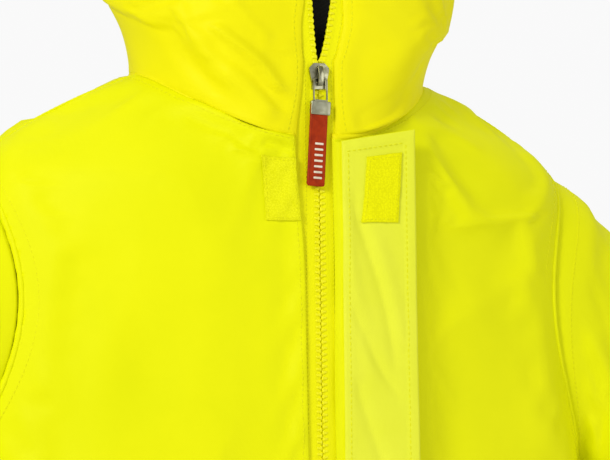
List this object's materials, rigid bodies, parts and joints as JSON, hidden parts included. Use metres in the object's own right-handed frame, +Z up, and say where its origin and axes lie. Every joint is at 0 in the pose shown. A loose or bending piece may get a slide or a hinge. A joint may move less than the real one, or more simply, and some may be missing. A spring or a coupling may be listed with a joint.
{
  "type": "foul weather jacket",
  "caption": "High-visibility foul weather jacket worn-shaped, with a hood, front zip, storm flap folded open, patch pockets and cuff tabs.",
  "frame": {"origin": "middle of the neck, level with the neck seam at the shoulders", "axes": "+Z up, -Y to the front, +X to the wearer's left"},
  "size_m": [0.8596, 0.3265, 1.0868],
  "materials": {
    "shell": "coated woven cloth, fluorescent yellow",
    "facing": "paler woven facing",
    "pile": "hook and loop tape",
    "lining": "dark lining cloth",
    "tape": "woven zip tape",
    "teeth": "moulded plastic",
    "steel": "worn plated metal",
    "tag": "red moulded rubber",
    "reflective": "silver retroreflective tape"
  },
  "bodies": {
    "jacket": {"front_panel_right": "shell", "front_panel_left": "shell", "back_panel": "shell", "hood_panel_right": "shell", "hood_panel_left": "shell", "hood_panel_middle": "shell", "pocket_right": "shell", "pocket_left": "shell", "body_lining": "lining", "hood_lining": "lining", "zip_placket": "lining", "hanger_loop": "lining", "front_loop_tape_1": "pile", "front_loop_tape_2": "pile", "front_loop_tape_3": "pile", "front_loop_tape_4": "pile", "zip_tape_right": "tape", "zip_tape_left": "tape", "zip_teeth_right": "teeth", "zip_teeth_left": "teeth", "zip_top_stop_right": "teeth", "zip_top_stop_left": "teeth", "zip_pin": "teeth", "zip_box": "teeth", "band_upper_front_right": "reflective", "band_upper_front_left": "reflective", "band_upper_back": "reflective", "band_lower_front_right": "reflective", "band_lower_front_left": "reflective", "band_lower_back": "reflective"},
    "sleeve_right": {"sleeve_right": "shell", "sleeve_lining_right": "lining", "sleeve_band_upper_right": "reflective", "sleeve_band_lower_right": "reflective", "cuff_loop_tape_right": "pile"},
    "cuff_tab_right": {"cuff_tab_right": "shell", "cuff_hook_tape_right": "pile"},
    "pocket_flap_right": {"pocket_flap_right": "shell", "pocket_hook_tape_right": "pile"},
    "sleeve_left": {"sleeve_left": "shell", "sleeve_lining_left": "lining", "sleeve_band_upper_left": "reflective", "sleeve_band_lower_left": "reflective", "cuff_loop_tape_left": "pile"},
    "cuff_tab_left": {"cuff_tab_left": "shell", "cuff_hook_tape_left": "pile"},
    "pocket_flap_left": {"pocket_flap_left": "shell", "pocket_hook_tape_left": "pile"},
    "slider": {"zip_slider": "steel", "slider_bridge": "steel"},
    "pull_loop": {"pull_loop": "steel"},
    "pull_tag": {"pull_clamp": "steel", "pull_tag": "tag"},
    "storm_flap": {"storm_flap": "shell", "storm_flap_facing": "facing", "flap_hook_tape_1": "pile", "flap_hook_tape_2": "pile", "flap_hook_tape_3": "pile", "flap_hook_tape_4": "pile"}
  },
  "joints": [
    {"name": "zip_slide", "type": "slide", "parent": "jacket", "child": "slider", "axis": [0, 0.0995, 0.995], "range_m": [-0.714, 0]},
    {"name": "pull_loop_hinge", "type": "hinge", "parent": "slider", "child": "pull_loop", "pos_m": [0, -0.09745, -0.00136], "axis": [-1, 0, 0], "range_deg": [0, 165]},
    {"name": "pull_tag_hinge", "type": "hinge", "parent": "pull_loop", "child": "pull_tag", "pos_m": [0, -0.09904, -0.01728], "axis": [1, 0, 0], "range_deg": [-90, 0]},
    {"name": "storm_flap_fold", "type": "hinge", "parent": "jacket", "child": "storm_flap", "pos_m": [0.013, -0.10377, -0.03942], "axis": [0, -0.0995, -0.995], "range_deg": [0, 171]},
    {"name": "sleeve_swing_right", "type": "hinge", "parent": "jacket", "child": "sleeve_right", "pos_m": [-0.2031, 0.004, -0.0585], "axis": [0, 1, 0], "range_deg": [0, 50]},
    {"name": "cuff_tab_fold_right", "type": "hinge", "parent": "sleeve_right", "child": "cuff_tab_right", "pos_m": [-0.4207, -0.001, -0.6077], "axis": [-0.1961, -0.2371, -0.9515], "range_deg": [0, 95]},
    {"name": "pocket_flap_fold_right", "type": "hinge", "parent": "jacket", "child": "pocket_flap_right", "pos_m": [-0.15, -0.1283, -0.445], "axis": [-0.9147, 0.4041, 0], "range_deg": [0, 100]},
    {"name": "sleeve_swing_left", "type": "hinge", "parent": "jacket", "child": "sleeve_left", "pos_m": [0.2031, 0.004, -0.0585], "axis": [0, -1, 0], "range_deg": [0, 50]},
    {"name": "cuff_tab_fold_left", "type": "hinge", "parent": "sleeve_left", "child": "cuff_tab_left", "pos_m": [0.4207, -0.001, -0.6077], "axis": [-0.1961, 0.2371, 0.9515], "range_deg": [0, 95]},
    {"name": "pocket_flap_fold_left", "type": "hinge", "parent": "jacket", "child": "pocket_flap_left", "pos_m": [0.15, -0.1283, -0.445], "axis": [-0.9147, -0.4041, 0], "range_deg": [0, 100]}
  ]
}
